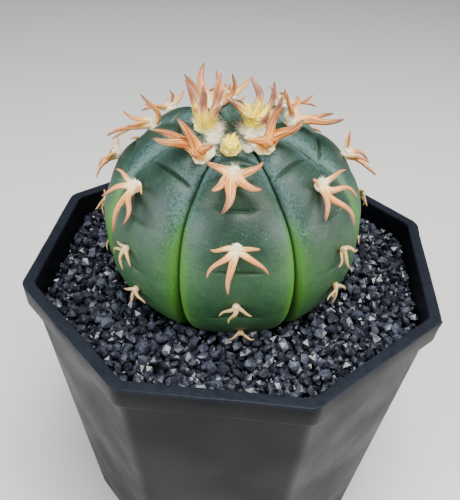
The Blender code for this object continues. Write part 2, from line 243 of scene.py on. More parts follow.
class PotSettings(bpy.types.PropertyGroup):
    """Sizes and colour of the pot."""

    across: length("Rim across flats", POT_HIGH.x - POT_LOW.x, "Outer size of the rim between opposite flats")
    height: length("Height", POT_HIGH.z, "From the foot to the top of the rim")
    foot: length("Foot across flats", 77 * MM, "Outer size of the foot between opposite flats")
    wall: length("Wall", 1.5 * MM, "Thickness of the wall and the floor")
    rim_height: length("Rim height", 5.8 * MM, "How far the rim band reaches down")
    rim_proud: length("Rim proud", 1.3 * MM, "How far the rim band stands off the wall")
    corner: length("Corner radius", 4 * MM, "Radius of the eight outer corners")
    edge: length("Edge rounding", 0.4 * MM, "Radius along the rim's edges")
    plastic: colour("Plastic", (0.003, 0.0034, 0.0048), "Colour of the moulded plastic")


class StemSettings(bpy.types.PropertyGroup):
    """Sizes and colours of the stem."""

    diameter: length("Diameter", 63.2 * MM, "Across the widest ring")
    crown_rise: length("Crown rise", 27.2 * MM, "From the widest ring up to the crown")
    keel_drop: length("Keel drop", 25 * MM, "From the widest ring down to the keel")
    crown_shift: length("Crown shift", 2.5 * MM, "How far in front of the axis the ribs meet")
    crown_dip: length("Crown dip", 3 * MM, "Depth of the hollow in the crown")
    groove: length("Groove depth", 2.3 * MM, "Depth of the grooves between ribs")
    crease: length("Crease depth", 0.55 * MM, "Depth of the creases below the areoles")
    bulge: length("Bulge", 0.7 * MM, "How far each tubercle swells")
    dark: colour("Deep green", (0.0075, 0.03, 0.0175), "Skin down the middle of a rib")
    bloom: colour("Bloom", (0.03, 0.073, 0.069), "Waxy bloom on the flanks and the crown")
    fresh: colour("Fresh green", (0.05, 0.165, 0.016), "Skin in the lower grooves")


class SpineSettings(bpy.types.PropertyGroup):
    """Looks of the spines and the wool."""

    sides: IntProperty(name="Sides", description="Sides of each spine", default=20, min=6)
    rings: IntProperty(name="Rings", description="Rings along each spine", default=34, min=8)
    fibres: IntProperty(name="Fibres", description="Fibres on an areole of scale one", default=300, min=0)
    pad: length("Wool pad", 3.4 * MM, "Width of the wool on an areole of scale one")
    fibre: length("Fibre", 0.05 * MM, "Diameter of a wool fibre")


class GritSettings(bpy.types.PropertyGroup):
    """Sizes and colours of the grit."""

    grains: IntProperty(name="Grains", description="Number of loose grains", default=5600, min=10)
    smallest: length("Smallest grain", 0.9 * MM, "Diameter of the finest grains")
    largest: length("Largest grain", 3.4 * MM, "Diameter of the coarsest grains")
    seed: IntProperty(name="Seed", description="Order of the random draws", default=7)
    stone: colour("Stone", (0.013, 0.0145, 0.022), "Colour of the grit")


class StageSettings(bpy.types.PropertyGroup):
    """Floor, light and camera."""

    focal: FloatProperty(name="Focal length", description="In millimetres", default=45.1, min=1.0)
    key: FloatProperty(name="Top light", description="Power in watts", default=5.6, min=0.0)
    fill: FloatProperty(name="Left light", description="Power in watts", default=5.6, min=0.0)
    rim: FloatProperty(name="Right light", description="Power in watts", default=5.6, min=0.0)
    floor: colour("Floor", (0.62, 0.62, 0.61), "Colour of the floor")


class CactusSettings(bpy.types.PropertyGroup):
    """Everything that a user would change."""

    pot: PointerProperty(type=PotSettings)
    stem: PointerProperty(type=StemSettings)
    spines: PointerProperty(type=SpineSettings)
    grit: PointerProperty(type=GritSettings)
    stage: PointerProperty(type=StageSettings)


# Mesh helpers


def make_object(name, points, faces, finishes, smooth=True, attributes=None):
    """An object from an array of points and a list of face arrays, one array for each number of corners.

    The faces are turned round together if the volume that they enclose comes out negative. attributes maps a
    name to one value or one vector for each point.
    """
    points = np.asarray(points, np.float64).reshape(-1, 3)
    volume = sum(
        np.einsum("ij,ij->", points[face[:, 0]], np.cross(points[face[:, i]], points[face[:, i + 1]]))
        for face in faces
        for i in range(1, face.shape[1] - 1)
    )
    if volume < 0:
        faces = [face[:, ::-1] for face in faces]
    corners = np.concatenate([face.ravel() for face in faces]).astype(np.int32)
    counts = np.concatenate([np.full(len(face), face.shape[1]) for face in faces])
    mesh = bpy.data.meshes.new(name)
    mesh.vertices.add(len(points))
    mesh.vertices.foreach_set("co", points.astype(np.float32).ravel())
    mesh.loops.add(len(corners))
    mesh.loops.foreach_set("vertex_index", corners)
    mesh.polygons.add(len(counts))
    mesh.polygons.foreach_set("loop_start", (np.cumsum(counts) - counts).astype(np.int32))
    mesh.update(calc_edges=True)
    mesh.polygons.foreach_set("use_smooth", np.full(len(counts), smooth))
    for finish in finishes:
        mesh.materials.append(finish)
    for key, values in (attributes or {}).items():
        values = np.asarray(values, np.float32)
        kind = "FLOAT" if values.ndim == 1 else "FLOAT_VECTOR"
        layer = mesh.attributes.new(key, kind, "POINT")
        layer.data.foreach_set("value" if values.ndim == 1 else "vector", values.ravel())
    mesh.validate()
    item = bpy.data.objects.new(name, mesh)
    bpy.context.scene.collection.objects.link(item)
    return item


def tube_faces(rows, columns, start=0):
    """Faces of a tube whose points are a first pole, rows times columns points, and a last pole."""
    grid = start + 1 + np.arange(rows * columns).reshape(rows, columns)
    after = np.roll(grid, -1, axis=1)
    quads = np.stack([grid[:-1], grid[1:], after[1:], after[:-1]], axis=-1).reshape(-1, 4)
    first = np.full(columns, start)
    last = np.full(columns, start + 1 + rows * columns)
    fans = np.concatenate(
        [np.stack([first, grid[0], after[0]], axis=-1), np.stack([last, after[-1], grid[-1]], axis=-1)]
    )
    return quads, fans


def waves(points, size, seed, octaves=3):
    """Smooth wandering values about 0 from sums of sines in random directions, for an array of points.

    Each octave adds six sines whose wavelength halves and whose height halves, starting from the size given.
    """
    rng = np.random.default_rng(seed)
    total = np.zeros(np.asarray(points).shape[:-1])
    for octave in range(octaves):
        for _ in range(6):
            direction = rng.normal(size=3)
            direction *= math.tau * 2**octave / (size * np.linalg.norm(direction))
            total += np.sin(points @ direction + rng.uniform(0, math.tau)) * 0.5**octave / 6
    return total


def smoothstep(low, high, values):
    """0 below low and 1 above high, with the cubic 3t^2 - 2t^3 between them."""
    share = np.clip((values - low) / (high - low), 0, 1)
    return share * share * (3 - 2 * share)


def bell(values, width):
    """exp of minus the square of the values over the width."""
    return np.exp(-((values / width) ** 2))


# Shader helpers


class Wire:
    """The output of one shader node. Arithmetic on it adds Math nodes."""

    def __init__(self, board, socket):
        self.board = board
        self.socket = socket

    def math(self, operation, *others):
        inputs = {0: self, **dict(enumerate(others, 1))}
        return self.board.add("ShaderNodeMath", {"operation": operation}, inputs)

    def __add__(self, other):
        return self.math("ADD", other)

    def __mul__(self, other):
        return self.math("MULTIPLY", other)

    def __sub__(self, other):
        return self.math("SUBTRACT", other)

    def __truediv__(self, other):
        return self.math("DIVIDE", other)

    def __pow__(self, other):
        return self.math("POWER", other)

    def __rsub__(self, other):
        return self.board.add("ShaderNodeMath", {"operation": "SUBTRACT"}, {0: other, 1: self})

    __radd__ = __add__
    __rmul__ = __mul__


class Board:
    """A material under construction, with a Principled BSDF as its surface."""

    def __init__(self, name, **surface):
        self.material = bpy.data.materials.new(name)
        self.material.use_nodes = True
        self.tree = self.material.node_tree
        self.surface = self.tree.nodes["Principled BSDF"]
        self.set_surface(**surface)
        self.place = self.add("ShaderNodeTexCoord", output="Object")

    def set_surface(self, **inputs):
        """Sets or links the surface's sockets; a keyword's underscores stand for spaces."""
        for key, value in inputs.items():
            self.fill(self.surface.inputs[key.replace("_", " ")], value)

    def fill(self, socket, value):
        if isinstance(value, Wire):
            self.tree.links.new(value.socket, socket)
        elif isinstance(value, (tuple, list)) and len(value) == 3 and socket.type == "RGBA":
            socket.default_value = (*value, 1)
        else:
            socket.default_value = value

    def add(self, kind, settings=None, inputs=None, output=0):
        """A node of any type: its settings first, then the values or links of its sockets."""
        node = self.tree.nodes.new(kind)
        for key, value in (settings or {}).items():
            if key == "stops":
                self.set_stops(node, value)
            else:
                setattr(node, key, value)
        for key, value in (inputs or {}).items():
            self.fill(node.inputs[key], value)
        return Wire(self, node.outputs[output])

    def set_stops(self, node, stops):
        elements = node.color_ramp.elements
        for _ in range(len(stops) - len(elements)):
            elements.new(1.0)
        for element, (position, shade) in zip(elements, stops):
            element.position = position
            element.color = (*shade, 1)

    def blend(self, first, second, factor):
        """A colour between two, by a factor."""
        return self.add("ShaderNodeMix", {"data_type": "RGBA"}, {0: factor, 6: first, 7: second}, 2)

    def ramp(self, factor, stops):
        return self.add("ShaderNodeValToRGB", {"stops": stops}, {0: factor})

    def value(self, name):
        """A number that the mesh carries at each point."""
        return self.add("ShaderNodeAttribute", {"attribute_name": name}, output="Fac")

    def vector(self, name):
        """A vector that the mesh carries at each point."""
        return self.add("ShaderNodeAttribute", {"attribute_name": name}, output="Vector")

    def noise(self, scale, detail=3.0, roughness=0.5, at=None):
        inputs = {"Vector": at or self.place, "Scale": scale, "Detail": detail, "Roughness": roughness}
        return self.add("ShaderNodeTexNoise", None, inputs, "Fac")

    def cells(self, scale):
        return self.add("ShaderNodeTexVoronoi", None, {"Vector": self.place, "Scale": scale}, "Distance")

    def between(self, value, low, high, new_low=0.0, new_high=1.0):
        """The value carried from one range to another, clamped."""
        settings = {"clamp": True, "interpolation_type": "SMOOTHSTEP"}
        return self.add("ShaderNodeMapRange", settings, {0: value, 1: low, 2: high, 3: new_low, 4: new_high})

    def bump(self, *layers):
        """Bump nodes in a chain, each from a height, a depth in metres and a strength."""
        normal = None
        for height, depth, strength in layers:
            inputs = {"Height": height, "Distance": depth, "Strength": strength}
            if normal:
                inputs["Normal"] = normal
            normal = self.add("ShaderNodeBump", None, inputs)
        self.set_surface(Normal=normal)


def pot_plastic(pot):
    """Black moulded plastic: satin of uneven sheen, with fine scratches, pale dust and a painted sheen on the
    top edge.
    """
    board = Board("pot_plastic", Specular_IOR_Level=0.1)
    cloud = board.noise(60, 4)
    fine = board.noise(1800, 4, 0.6)
    stretched = board.add("ShaderNodeMapping", None, {"Vector": board.place, "Scale": (1.0, 1.0, 0.06)})
    scratch = board.between(board.noise(900, 2, 0.7, at=stretched), 0.66, 0.74)
    dust = board.between(board.noise(380, 6, 0.75), 0.6, 0.8) * board.between(cloud, 0.45, 0.7)
    base = board.blend(tuple(pot.plastic), (0.05, 0.055, 0.065), dust * 0.3 + scratch * 0.12)
    # Painted sheen: the top of the rim is drawn lighter and bluer, in patches, where light glances off it
    height = board.add("ShaderNodeSeparateXYZ", None, {"Vector": board.place}, "Z")
    painted_rim_sheen = board.between(height, pot.height - 0.9 * MM, pot.height - 0.2 * MM)
    painted_rim_sheen = painted_rim_sheen * board.between(board.noise(700, 5, 0.7) + cloud * 0.3, 0.4, 0.8, 0.45, 1.0)
    base = board.blend(base, (0.011, 0.014, 0.021), painted_rim_sheen)
    rough = board.between(cloud, 0.3, 0.7, 0.34, 0.48) + scratch * 0.12 + dust * 0.1
    board.set_surface(Base_Color=base, Roughness=rough)
    board.bump((fine, 0.02 * MM, 0.35), (scratch, 0.02 * MM, 0.3), (cloud, 0.3 * MM, 0.15))
    return board.material


def stem_skin(stem):
    """Waxy skin: deep green mid-ribs, grey bloom on the flanks, fresh green low grooves and pale specks."""
    board = Board("stem_skin", Specular_IOR_Level=0.38, Subsurface_Weight=0.05, Subsurface_Scale=0.002)
    board.set_surface(Subsurface_Radius=(0.4, 1.0, 0.25))
    flank = board.value("flank")
    lower = board.value("lower")
    valley = board.value("valley")
    shade = board.value("shade")
    cloud = board.noise(95, 4, 0.55)
    patch = board.noise(420, 5, 0.65)
    grain = board.noise(2100, 3, 0.7)
    speck = board.between(board.cells(1000), 0.15, 0.05) * board.between(board.noise(420, 2), 0.46, 0.62)
    # The flank mask is bloom plus a painted highlight on the rib shoulders
    waxy = flank + (cloud - 0.5) * 0.6 + (patch - 0.5) * 0.35 + (grain - 0.5) * 0.6
    waxy = board.between(waxy, 0.0, 1.05)
    base = board.blend(tuple(stem.dark), tuple(stem.bloom), waxy)
    base = board.blend(base, (0.072, 0.14, 0.136), board.between(waxy * 0.5 + grain, 0.7, 1.05) * 0.5)
    base = board.blend(base, (0.005, 0.021, 0.011), board.between(grain, 0.54, 0.36) * 0.6)
    low_tint = board.between(lower + (patch - 0.5) * 0.6, 0.45, 1.1) * 0.6
    base = board.blend(base, (0.032, 0.094, 0.034), low_tint)
    fresh = valley * (lower * 1.15 + 0.05) + (patch - 0.5) * 0.3 + (grain - 0.5) * 0.35
    fresh = board.between(fresh, 0.08, 1.05)
    base = board.blend(base, tuple(stem.fresh), fresh)
    # Painted shade in grooves, creases, crown hollow and low ends; below the star, shadow and a darker tone
    base = board.blend(base, (0.01, 0.028, 0.008), shade)
    base = board.blend(base, (0.25, 0.33, 0.3), speck * 0.5)
    scar = board.add("ShaderNodeMapping", None, {"Vector": board.place, "Scale": (0.35, 0.35, 5.0)})
    line = board.between(board.noise(260, 2, 0.5, at=scar), 0.72, 0.76) * lower
    base = board.blend(base, (0.3, 0.34, 0.2), line * 0.4)
    board.set_surface(Base_Color=base, Roughness=board.between(grain, 0.3, 0.7, 0.4, 0.62))
    board.bump((grain, 0.11 * MM, 0.7), (patch, 0.16 * MM, 0.4), (speck, 0.03 * MM, 0.4))
    return board.material


def spine_horn():
    """Horny spines: cream at the root, then yellow, amber, peach or straw with age, and a dark point."""
    board = Board("spine_horn", Specular_IOR_Level=0.36, Subsurface_Weight=0.12, Subsurface_Scale=0.0012)
    board.set_surface(Subsurface_Radius=(1.0, 0.5, 0.25))
    along = board.value("along")
    tone = board.value("tone")
    strand = board.vector("strand")
    streak = board.noise(3.4, 3, 0.6, at=strand)
    blotch = board.noise(500, 3)
    way = along + (streak - 0.5) * 0.3 + (blotch - 0.5) * 0.12
    young = board.ramp(way, (
        (0.0, (0.9, 0.72, 0.12)), (0.22, (1.0, 0.84, 0.02)), (0.5, (0.97, 0.76, 0.12)),
        (0.6, (0.66, 0.36, 0.17)), (0.72, (0.3, 0.12, 0.09)), (0.9, (0.4, 0.2, 0.15)),
        (1.0, (0.2, 0.1, 0.09)),
    ))
    amber = board.ramp(way, (
        (0.0, (0.97, 0.84, 0.5)), (0.13, (0.88, 0.42, 0.09)), (0.4, (0.62, 0.2, 0.02)),
        (0.7, (0.36, 0.1, 0.015)), (0.9, (0.15, 0.045, 0.018)), (1.0, (0.03, 0.014, 0.012)),
    ))
    peach = board.ramp(way, (
        (0.0, (0.97, 0.9, 0.66)), (0.14, (0.95, 0.7, 0.34)), (0.34, (0.8, 0.35, 0.09)),
        (0.62, (0.62, 0.25, 0.09)), (0.86, (0.4, 0.16, 0.08)), (1.0, (0.1, 0.05, 0.035)),
    ))
    straw = board.ramp(way, (
        (0.0, (0.5, 0.32, 0.13)), (0.4, (0.52, 0.36, 0.15)), (0.8, (0.42, 0.3, 0.14)),
        (1.0, (0.16, 0.1, 0.05)),
    ))
    base = board.blend(young, amber, board.between(tone, 0.0, 0.28))
    base = board.blend(base, peach, board.between(tone, 0.3, 0.6))
    base = board.blend(base, straw, board.between(tone, 0.68, 0.95))
    pale = board.between(streak, 0.48, 0.39) * board.between(tone, 0.1, 0.24) * board.between(tone, 0.75, 0.5)
    base = board.blend(base, (0.9, 0.56, 0.24), pale * 0.45)
    grooved = board.between(streak, 0.5, 0.58) * board.between(along, 0.08, 0.35)
    base = board.blend(base, (0.16, 0.045, 0.012), grooved * board.between(tone, 1.0, 0.2, 0.25, 0.8))
    board.set_surface(Base_Color=base, Roughness=board.between(streak, 0.3, 0.7, 0.34, 0.52))
    board.bump((streak, 0.25 * MM, 0.7), (board.noise(3200, 2), 0.03 * MM, 0.3))
    return board.material


def wool():
    """Short felted wool, cream with a little brown dirt."""
    board = Board("areole_wool", Roughness=0.95, Specular_IOR_Level=0.1, Subsurface_Weight=0.25)
    board.set_surface(Subsurface_Radius=(1.0, 0.8, 0.5), Subsurface_Scale=0.0015, Sheen_Weight=0.3)
    cloud = board.noise(700, 4)
    base = board.blend((0.96, 0.9, 0.66), (0.6, 0.4, 0.17), board.between(cloud, 0.56, 0.84))
    board.set_surface(Base_Color=base)
    board.bump((board.noise(3500, 4, 0.7), 0.12 * MM, 0.6))
    return board.material


def grit_stone(grit):
    """Crushed black stone: glossy broken faces, blue-grey patches, some paler grains and a few brown ones."""
    board = Board("grit_stone", Specular_IOR_Level=0.42)
    grain = board.value("grain")
    cloud = board.noise(900, 5, 0.65)
    base = board.blend(tuple(grit.stone), (0.06, 0.068, 0.096), board.between(cloud + grain * 0.3, 0.5, 0.95))
    base = board.blend(base, (0.065, 0.075, 0.1), board.between(grain, 0.9, 0.98) * 0.7)
    base = board.blend(base, (0.3, 0.2, 0.1), board.between(grain, 0.9985, 0.9995))
    board.set_surface(Base_Color=base, Roughness=board.between(cloud, 0.35, 0.65, 0.1, 0.36))
    board.bump((cloud, 0.12 * MM, 0.6), (board.noise(5200, 2), 0.03 * MM, 0.4))
    return board.material


def grit_bed_painted_shade(grit):
    """The grit under the loose grains, painted near black as the shade in the gaps between them."""
    board = Board("grit_bed_painted_shade", Specular_IOR_Level=0.3, Roughness=0.8)
    cloud = board.noise(1600, 5, 0.7)
    # Painted shade: near black, lifted towards the stone's colour in patches
    board.set_surface(Base_Color=board.blend((0.002, 0.002, 0.003), tuple(grit.stone), cloud))
    board.bump((cloud, 0.3 * MM, 0.8))
    return board.material


def potting_soil():
    """Dark peat with paler fibres and crumbs."""
    board = Board("potting_soil", Specular_IOR_Level=0.2, Roughness=0.95)
    crumb = board.cells(450)
    cloud = board.noise(900, 6, 0.7)
    base = board.blend((0.012, 0.008, 0.005), (0.07, 0.045, 0.026), board.between(cloud, 0.35, 0.75))
    board.set_surface(Base_Color=board.blend(base, (0.14, 0.1, 0.06), board.between(cloud * crumb, 0.3, 0.5)))
    board.bump((crumb, 0.8 * MM, 0.7), (cloud, 0.4 * MM, 0.6))
    return board.material


# The stem


def body_point(stem, colatitude, turn):
    """Points of the stem without its ribs, for arrays of two angles in radians.

    A ring's girth is the radius times the sine of the colatitude to the power 2 / fullness. Above the widest
    ring, rings slide forward by crown_shift times one minus the squared share of the radius, and the height
    is that of a superellipse of revolution less a bell-shaped dip; below it, the height falls with the cosine
    to the power 2 / fullness.
    """
    radius = stem.diameter / 2
    crownward = colatitude < math.pi / 2
    fullness = np.where(crownward, CROWN_FULLNESS, KEEL_FULLNESS)
    girth = radius * np.abs(np.sin(colatitude)) ** (2 / fullness)
    forward = np.where(crownward, stem.crown_shift * (1 - (girth / radius) ** 2), 0.0)
    x = girth * np.sin(turn)
    y = -girth * np.cos(turn) - forward
    share = np.minimum(np.hypot(x, y) / radius, 1.0)
    above = stem.crown_rise * (1 - share**CROWN_FULLNESS) ** (1 / CROWN_FULLNESS)
    above = above - stem.crown_dip * bell(girth, CROWN_DIP_RADIUS)
    below = -stem.keel_drop * np.abs(np.cos(colatitude)) ** (2 / KEEL_FULLNESS)
    height = GRIT_HIGH.z + EQUATOR_ABOVE_GRIT + np.where(crownward, above, below)
    return np.stack([x + STEM_PLACE[0], y + STEM_PLACE[1], height], axis=-1)


def body_axes(stem, colatitude, turn):
    """Unit vectors to the right, crownward and outward at points of the body, by small differences."""
    step = 0.01
    crownward = body_point(stem, colatitude - step, turn) - body_point(stem, colatitude + step, turn)
    sideways = body_point(stem, colatitude, turn + step) - body_point(stem, colatitude, turn - step)
    crownward /= np.linalg.norm(crownward, axis=-1, keepdims=True)
    outward = np.cross(sideways, crownward)
    outward /= np.linalg.norm(outward, axis=-1, keepdims=True)
    return np.cross(crownward, outward), crownward, outward


def rib_places(turn, colatitude):
    """For arrays of angles in radians: the rib's number, and the share of the way across it from 0 to 1."""
    twist = math.radians(RIB_TWIST) * (colatitude - math.pi / 2) / math.pi
    degrees = np.degrees(turn - twist)
    edges = np.array([*GROOVES, GROOVES[0] + 360.0])
    degrees = (degrees - edges[0]) % 360 + edges[0]
    rib = np.clip(np.searchsorted(edges, degrees, side="right") - 1, 0, len(GROOVES) - 1)
    return rib, (degrees - edges[rib]) / (edges[rib + 1] - edges[rib])


def creases_of(rib):
    """Colatitudes in degrees of the creases between a rib's areoles, each a little above the middle."""
    heights = [areole[0] for areole in AREOLES[RIBS[rib]]]
    return [upper + 0.45 * (lower - upper) for upper, lower in zip(heights, heights[1:])]


def stem_relief(stem, colatitude, turn):
    """How far the skin stands off the body, with what the skin's colours follow.

    Two neighbouring ribs meet like circles: across a shoulder w from the groove the skin falls by
    depth * (1 - sqrt(1 - (1 - d / w)^2)). Each crease is a narrow bell across the rib, as wide as the rib
    near the crown and less than half of it lower down, and the highest ones are double. Between creases the
    tubercle swells by a sine along the rib and a cosine across it. The shade is painted shade: it follows the
    grooves and creases, the crown's hollow and the ribs' low ends, and on the front rib below its star it is
    painted shadow with a darker tone. The flank carries the bloom and a painted highlight on each rib's
    shoulder.
    """
    rib, across = rib_places(turn, colatitude)
    body = body_point(stem, colatitude, turn)
    girth = np.hypot(body[..., 0] - STEM_PLACE[0], body[..., 1] - STEM_PLACE[1])
    widths = np.radians(np.diff([*GROOVES, GROOVES[0] + 360.0]))[rib]
    to_groove = np.minimum(across, 1 - across) * widths * girth
    degrees = np.degrees(colatitude)
    fade = smoothstep(3, 22, degrees) * smoothstep(170, 140, degrees)
    shoulder = np.minimum(7.5 * MM - 4.5 * MM * smoothstep(70, 115, degrees), widths * girth * 0.5)
    closeness = np.clip(1 - to_groove / np.maximum(shoulder, 1e-6), 0, 1)
    groove = 1 - np.sqrt(np.clip(1 - closeness**2, 0, 1))
    depth = stem.groove * fade * (1.0 + 0.25 * bell(degrees - 38, 16))
    relief = -depth * groove
    valley = (0.55 * bell(to_groove, 1.8 * MM) + 0.45 * bell(to_groove, 7.0 * MM)) * fade
    # A painted highlight along each rib's shoulder, laid on as extra bloom
    margin = bell(to_groove - 1.3 * MM, 0.7 * MM) * fade
    flank = np.zeros_like(relief)
    # Painted shade along each groove, less of it lower down
    shade = bell(to_groove, 0.3 * MM) * fade * (1 - 0.35 * smoothstep(50, 100, degrees))
    for number in range(len(GROOVES)):
        here = rib == number
        marks = creases_of(number)
        twin = [mark - TWIN_GAP for mark in marks if mark < TWIN_LIMIT]
        bounds = [0.0, *marks, marks[-1] + 26]
        arc = np.radians(degrees[here]) * SKIN_RADIUS * MM
        middle = np.abs(across[here] - 0.5) * 2
        local = np.zeros(here.sum())
        dark = np.zeros(here.sum())
        for mark in twin + marks:
            form = "crown" if mark < CROWN_LIMIT else "front" if number == 0 else "rest"
            reach, deep, tint = CREASES[form]
            sag = mark + CREASE_SAG * middle**2
            ends = 1 - smoothstep(reach * 0.6, reach, middle)
            gap = arc - np.radians(sag) * SKIN_RADIUS * MM
            local -= stem.crease * ends * deep * (bell(gap, 0.34 * MM) + 0.55 * bell(gap, 1.5 * MM))
            # Painted shade in the crease
            dark += ends * bell(gap, 0.3 * MM) * tint
        for low, high in zip(bounds, bounds[1:]):
            swell = np.clip((degrees[here] - low) / (high - low), 0, 1)
            swell = np.sin(math.pi * swell ** 0.8)
            size = 1.0 if high < 60 else 0.45
            local += stem.bulge * size * swell * np.cos(middle * math.pi / 2) ** 0.8 * fade[here]
        relief[here] += local * fade[here]
        shade[here] = np.maximum(shade[here], dark * fade[here])
        flank[here] = smoothstep(0.0, 1.0, middle) * 0.6
    # More bloom near the crown plus the painted shoulder highlight; less bloom low down, and below the front
    # rib's star less bloom as painted shadow with a darker tone
    flank += 0.25 * smoothstep(60, 20, degrees) + 0.3 * margin * smoothstep(95, 60, degrees)
    flank -= 0.35 * smoothstep(80, 120, degrees) + 0.35 * bell(degrees - 42, 9) * (rib == 0)
    # Painted shade below the front rib's star (with a darker tone), in the crown's hollow and at the low ends
    shade = np.maximum(shade, 0.5 * bell(degrees - 42, 8) * np.cos((across - 0.5) * math.pi) * (rib == 0))
    shade = np.maximum(shade, 0.8 * smoothstep(13, 6, degrees))
    shade = np.maximum(shade, 0.75 * smoothstep(102, 118, degrees) * np.sin(across * math.pi) ** 0.7)
    lower = smoothstep(30, 88, degrees)
    relief += 0.25 * MM * waves(body, 26 * MM, 3, 2) * fade
    return relief, {"flank": flank, "valley": valley, "lower": lower, "shade": np.clip(shade, 0, 1)}


def skin_point(stem, colatitude, turn):
    """Points of the finished skin and its three axes, for arrays of angles in radians."""
    relief, _ = stem_relief(stem, colatitude, turn)
    axes = body_axes(stem, colatitude, turn)
    return body_point(stem, colatitude, turn) + axes[2] * relief[..., None], axes


def build_stem(stem):
    """The skin as one surface over colatitude and turn, with columns crowded at the grooves, and a taproot.

    The taproot carries the last ring down to a tip: its girth falls from all to a sixth of the ring's, with
    the way left to the power 2.2, and wanders a little.
    """
    per_rib, rows = 40, 286
    step = np.arange(per_rib) / per_rib
    crowded = step - 0.8 * np.sin(math.tau * step) / math.tau
    edges = np.array([*GROOVES, GROOVES[0] + 360.0])
    turns = (edges[:-1, None] + crowded[None] * np.diff(edges)[:, None]).ravel()
    heights = np.concatenate([np.linspace(0.6, 132, rows - 14), np.linspace(135, 166, 14)])
    colatitude, turn = np.meshgrid(np.radians(heights), np.radians(turns), indexing="ij")
    turn = turn + math.radians(RIB_TWIST) * (colatitude - math.pi / 2) / math.pi
    relief, colours = stem_relief(stem, colatitude, turn)
    skin = body_point(stem, colatitude, turn) + body_axes(stem, colatitude, turn)[2] * relief[..., None]
    keel = skin[-1]
    centre = np.array([*STEM_PLACE, 0.0])
    down = np.linspace(0, 1, 15)[1:, None, None]
    reach = (keel - centre) * [1, 1, 0]
    tip = STEM_LOW.z + 1.5 * MM
    shrink = 0.16 + 0.84 * (1 - down) ** 2.2
    root = centre + reach * shrink + [0, 0, 1] * (keel[:, 2:] * (1 - down) + tip * down)
    outwards = reach / np.linalg.norm(reach, axis=-1, keepdims=True)
    root += waves(root, 9 * MM, 11, 2)[..., None] * outwards * 0.7 * MM
    grid = np.concatenate([skin, root])
    rows_all, columns = grid.shape[:2]
    top = body_point(stem, np.array(0.0), np.array(0.0))
    bottom = root[-1].mean(0) - [0, 0, 0.5 * MM]
    points = np.concatenate([[top], grid.reshape(-1, 3), [bottom]])
    attributes = {}
    for key, values in colours.items():
        extra = np.repeat(values[-1:], len(root), axis=0)
        flat = np.concatenate([values, extra]).ravel()
        attributes[key] = np.concatenate([[flat[0]], flat, [flat[-1]]])
    faces = tube_faces(rows_all, columns)
    return make_object("ribbed_stem", points, faces, [stem_skin(stem)], attributes=attributes)


# Spines and wool


def horn(root, axes, spine, diameter, settings, seed):
    """One spine as a tube of rings: its points, and at each how ripe its colour is and its strand vector.

    The line is root + chord * t, bowed outward and swerved sideways by sin(pi t) with a little of
    sin(2 pi t). Its last part is turned aside by t^4 and, where the spine stands up, climbs by t^3. The
    girth falls as 1 - 0.66 t with a flare of exp(-t / 0.1) at the root, and (1 - t^10)^0.5 rounds the tip.
    Each ring is an ellipse with seven low ridges. A short spine ripens less, and only a thin one ends in a
    dark point.
    """
    heading, lift, reach, girth, bow, swerve = spine
    right, crownward, outward = axes
    turn, rise = math.radians(heading), math.radians(lift)
    along = right * math.sin(turn) + crownward * math.cos(turn)
    side = right * math.cos(turn) - crownward * math.sin(turn)
    reach = reach * MM
    chord = (along * math.cos(rise) + outward * math.sin(rise)) * reach
    lean = np.cross(side, chord / reach)
    t = np.sin(np.linspace(0, math.pi / 2, settings.rings)) ** 1.15
    rng = np.random.default_rng(seed)
    phase = rng.uniform(0, math.tau, 4)
    hook, twist, sway, nod = rng.normal(size=4) * [0.08, 0.1, 0.035, 0.035]
    curl, wave = np.sin(math.pi * t), np.sin(math.tau * t)
    over_line = bow * curl + nod * wave + hook * t**4
    climb = 0.12 * smoothstep(25, 55, lift) * t**3
    side_line = swerve * curl + sway * wave + twist * t**4 + np.sin(t * 6 + phase[0]) * 0.04 * t
    line = root + chord * t[:, None] + reach * (side * side_line[:, None] + lean * over_line[:, None])
    line[:, 2] += reach * climb
    tangent = np.gradient(line, axis=0)
    tangent /= np.linalg.norm(tangent, axis=1, keepdims=True)
    across = side - tangent * (tangent @ side)[:, None]
    across /= np.linalg.norm(across, axis=1, keepdims=True)
    over = np.cross(tangent, across)
    radius = diameter * girth / 2 * (1 - 0.66 * t + 0.3 * np.exp(-t / 0.1)) * (1 - t**10) ** 0.5
    radius *= 1 + 0.07 * np.sin(t * 11 + phase[1]) * (1 - t)
    around = np.linspace(0, math.tau, settings.sides, endpoint=False)
    ridge = 1 + 0.045 * np.sin(7 * around + phase[2] + 0.6 * t[:, None]) * (1 - 0.4 * t)[:, None]
    ring = across[:, None] * np.cos(around)[None, :, None]
    ring = ring + 0.84 * over[:, None] * np.sin(around)[None, :, None]
    body = line[:, None] + ring * (radius[:, None] * ridge)[..., None]
    points = np.concatenate([[line[0]], body.reshape(-1, 3), [line[-1] + tangent[-1] * 0.02 * MM]])
    share = np.repeat(t, settings.sides)
    circle = np.stack([np.cos(around), np.sin(around)], -1)
    strand = np.concatenate([np.tile(circle, (settings.rings, 1)), share[:, None] * 0.5 + phase[3]], axis=1)
    ripe = share * min(1.0, 0.12 + reach / (10.5 * MM))
    if girth < 1.1:
        ripe = np.maximum(ripe, 0.95 * smoothstep(0.8, 1.0, share))
    return points, with_poles(ripe), with_poles(strand)


def with_poles(values):
    """The values of a tube's rings with the first and the last repeated for its poles."""
    return np.concatenate([values[:1], values, values[-1:]])


def mound(root, axes, size, seed):
    """Points of a lumpy ellipsoid: it swells and dips with waves, and the skin hides its lower part."""
    down = np.linspace(0, math.pi, MOUND_ROWS + 2)[1:-1]
    around = np.linspace(0, math.tau, MOUND_COLUMNS, endpoint=False)
    local = np.stack(
        [
            np.sin(down)[:, None] * np.cos(around) * size[0],
            np.sin(down)[:, None] * np.sin(around) * size[1],
            np.repeat(np.cos(down)[:, None], MOUND_COLUMNS, 1) * size[2],
        ],
        -1,
    ).reshape(-1, 3)
    local = np.concatenate([[[0, 0, size[2]]], local, [[0, 0, -size[2]]]])
    local *= 1 + 0.2 * waves(local, 1.3 * MM, seed, 3)[:, None]
    return root + local @ np.stack(axes)


